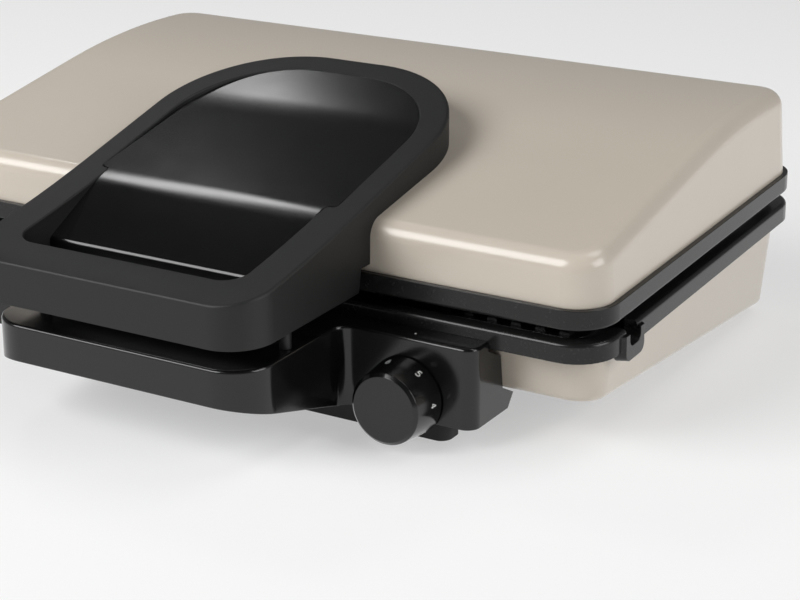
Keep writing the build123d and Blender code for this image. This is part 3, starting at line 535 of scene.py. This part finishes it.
# ------------------------------------------------------------------ printed digits on the knob
KNOB_AXIS = (0.1145, 0.0235)              # as (x, z)
KNOB_BACK = -0.10005                      # the cone runs from this y to the next
KNOB_FRONT = -0.12015
KNOB_BACK_RADIUS = 0.0203
KNOB_FRONT_RADIUS = 0.0181
DIGIT_HEIGHT = 3.8 * MM
DIGIT_STROKE = 0.55 * MM
DIGIT_MIDDLE = (0.3, 0.5)                 # middle of the box, 0.6 wide and 1 tall, that a digit is drawn in
DIGIT_PLACE_Y = -0.10625
DIGIT_STEP = 51.0
DIGIT_SIX_AT = 106.0
INK_LOW = 0.02 * MM
INK_HIGH = 0.09 * MM
CURVE_POINTS = 14
RING_POINTS = 22
LEG_POINTS = 7
TINY = 1e-12


def arc(cx, cy, radius, start, end, count=CURVE_POINTS):
    """Points of a circular arc in the digit's own box, angles in degrees."""
    turn = np.radians(np.linspace(start, end, count))
    return np.stack([cx + radius * np.cos(turn), cy + radius * np.sin(turn)], axis=1)


def leg(first, last):
    """A straight stroke from the first point to the last, cut into short steps so that it can bend."""
    share = np.linspace(0.0, 1.0, LEG_POINTS)[:, None]
    return np.array(first) + share * (np.array(last) - np.array(first))


DIGITS = {
    1: [leg((0.12, 0.78), (0.32, 1.0)), leg((0.32, 1.0), (0.32, 0.0))],
    2: [arc(0.29, 0.73, 0.25, 165, -40), leg((0.48, 0.57), (0.04, 0.0)), leg((0.04, 0.0), (0.56, 0.0))],
    3: [arc(0.29, 0.76, 0.24, 150, -90), arc(0.29, 0.26, 0.26, 90, -150)],
    4: [leg((0.42, 0.0), (0.42, 1.0)), leg((0.42, 1.0), (0.02, 0.30)), leg((0.02, 0.30), (0.58, 0.30))],
    5: [leg((0.52, 1.0), (0.12, 1.0)), leg((0.12, 1.0), (0.08, 0.52)), arc(0.28, 0.32, 0.29, 130, -145)],
    6: [arc(0.29, 0.29, 0.27, 180, -180, RING_POINTS), arc(0.62, 0.36, 0.61, 175, 108)],
}


def on_knob(across, along, lift, centre):
    """Maps the print onto the knob's cone.

    across runs round the cone as an arc length from the centre angle, towards smaller angles. along runs down
    the axis towards the panel, and lift is the height over the cone. The cone's radius falls evenly from back
    to front.
    """
    y = DIGIT_PLACE_Y + along
    share = (KNOB_BACK - y) / (KNOB_BACK - KNOB_FRONT)
    radius = KNOB_BACK_RADIUS + share * (KNOB_FRONT_RADIUS - KNOB_BACK_RADIUS)
    turn = math.radians(centre) - across / radius
    reach = radius + lift
    return np.stack([KNOB_AXIS[0] + reach * np.cos(turn), y, KNOB_AXIS[1] + reach * np.sin(turn)], axis=-1)


def stroke_sections(path):
    """Left and right edges of a stroke of even width: the path moved along its own normal to either side."""
    step = np.gradient(path, axis=0)
    step /= np.linalg.norm(step, axis=1, keepdims=True) + TINY
    side = np.stack([-step[:, 1], step[:, 0]], axis=1)
    half = 0.5 * DIGIT_STROKE / DIGIT_HEIGHT
    return path + half * side, path - half * side


def print_digit(digit, centre):
    """One digit as thin closed ribbons of ink that follow the cone."""
    for index, path in enumerate(DIGITS[digit]):
        left, right = stroke_sections(path)
        rails = []
        for edge, lift in ((left, INK_LOW), (right, INK_LOW), (right, INK_HIGH), (left, INK_HIGH)):
            across, along = ((edge - DIGIT_MIDDLE) * DIGIT_HEIGHT).T
            rails.append(on_knob(across, along, lift, centre))
        points = np.stack(rails, axis=1).reshape(-1, 3)
        faces = grid_faces(len(path), len(rails))
        mesh_piece(f"dial_digit_{digit}_{index}", points, faces, ink, "knob", smooth=False)


def print_dial():
    """The digits 1 to 6 stand at even steps round the knob, falling clockwise from the six near the top."""
    for digit in DIGITS:
        print_digit(digit, DIGIT_SIX_AT - (max(DIGITS) - digit) * DIGIT_STEP)


# ------------------------------------------------------------------ setting mark on the housing
MARK_DOT = (115.9 * MM, -92.15 * MM)
MARK_DASH = ((116.1 * MM, -90.4 * MM), (115.6 * MM, -83.9 * MM))
MARK_DOT_RADIUS = 0.55 * MM
MARK_DOT_POINTS = 20
MARK_DASH_WIDTH = 0.7 * MM
MARK_THICK = 0.06 * MM                    # height over the moulding
MARK_SUNK = 0.02 * MM                     # depth below its surface
WELL_ABOVE = 1.0


def seat_height(name, x, y):
    """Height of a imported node's top surface over a place, by a ray straight down."""
    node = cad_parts[name]
    inverse = node.matrix_world.inverted()
    start = inverse @ Vector((x, y, WELL_ABOVE))
    down = inverse.to_3x3() @ Vector((0.0, 0.0, -1.0))
    place = node.ray_cast(start, down)[1]
    return (node.matrix_world @ place).z


def flat_print(name, outline, material):
    """A thin plate of ink with a given outline, laid on the top of the front moulding."""
    outline = np.array(outline)
    heights = np.array([seat_height("front_fascia", x, y) for x, y in outline])
    low = np.column_stack([outline, heights - MARK_SUNK])
    high = np.column_stack([outline, heights + MARK_THICK])
    points = np.concatenate([low, high])
    mesh_piece(name, points, grid_faces(2, len(outline)), material, "base", smooth=False)


def print_mark():
    """A small pale dot with a dark dash behind it, which the digits on the knob are set against."""
    turn = np.linspace(0.0, 2.0 * math.pi, MARK_DOT_POINTS, endpoint=False)
    dot = MARK_DOT + MARK_DOT_RADIUS * np.stack([np.cos(turn), np.sin(turn)], axis=1)
    flat_print("setting_mark_dot", dot, ink)
    (x0, y0), (x1, y1) = MARK_DASH
    half = MARK_DASH_WIDTH / 2
    dash = [(x0 - half, y0), (x0 + half, y0), (x1 + half, y1), (x1 - half, y1)]
    flat_print("setting_mark_dash", dash, dark_ink)


# ------------------------------------------------------------------ stage and light
FLOOR_HALF = 4.0
HORIZON_GREY = 0.26
ZENITH_GREY = 0.03
FADE_TOP = 0.8                            # how far up, as the Z of a direction, the world has gone dark
LAMP_TARGET = Vector((0.0, -0.09, 0.09))

# name, direction from the target, distance, width, height, power
LAMPS = (
    ("strip_back_left", (-0.575, 0.43, 0.70), 2.2, 0.46, 0.28, 3.1),
    ("main_front_left", (-0.48, -0.68, 0.60), 2.4, 1.8, 1.4, 60.0),
    ("top_right", (0.35, 0.30, 0.90), 2.4, 1.0, 1.0, 9.0),
    ("side_right", (0.93, 0.05, 0.42), 2.2, 1.2, 1.2, 20.0),
)


def make_floor():
    """A plain square floor at the height that the feet stand on."""
    mesh = bpy.data.meshes.new("floor")
    h = FLOOR_HALF
    mesh.from_pydata([(-h, -h, 0), (h, -h, 0), (h, h, 0), (-h, h, 0)], [], [(0, 1, 2, 3)])
    mesh.materials.append(floor_material())
    floor = bpy.data.objects.new("floor", mesh)
    bpy.context.scene.collection.objects.link(floor)


def make_world():
    """A studio that is pale near the floor and dark overhead."""
    world = bpy.data.worlds.new("world")
    world.use_nodes = True
    n = Nodes(world.node_tree)
    background = world.node_tree.nodes["Background"]
    place = n.add("ShaderNodeTexCoord")
    axes = n.add("ShaderNodeSeparateXYZ")
    fade = n.add("ShaderNodeMapRange", interpolation_type="SMOOTHSTEP")
    fade.inputs["From Min"].default_value = 0.0
    fade.inputs["From Max"].default_value = FADE_TOP
    fade.inputs["To Min"].default_value = HORIZON_GREY
    fade.inputs["To Max"].default_value = ZENITH_GREY
    n.wire(place, "Generated", axes, "Vector")
    n.wire(axes, "Z", fade, "Value")
    n.wire(fade, "Result", background, "Strength")
    background.inputs["Color"].default_value = (1.0, 1.0, 1.0, 1.0)
    bpy.context.scene.world = world
    bpy.context.scene.view_settings.view_transform = "Standard"


def softbox(name, direction, distance, width, height, power):
    """A rectangular lamp seen from the object in a direction, turned to face it."""
    towards = Vector(direction).normalized()
    lamp = bpy.data.lights.new(name, "AREA")
    lamp.shape = "RECTANGLE"
    lamp.energy = power
    lamp.size = width
    lamp.size_y = height
    obj = bpy.data.objects.new(name, lamp)
    bpy.context.scene.collection.objects.link(obj)
    obj.location = LAMP_TARGET + distance * towards
    obj.rotation_euler = (-towards).to_track_quat("-Z", "Y").to_euler()


make_camera()
dress_nodes()
handle_panel()
print_dial()
print_mark()
make_floor()
make_world()
for lamp_values in LAMPS:
    softbox(*lamp_values)
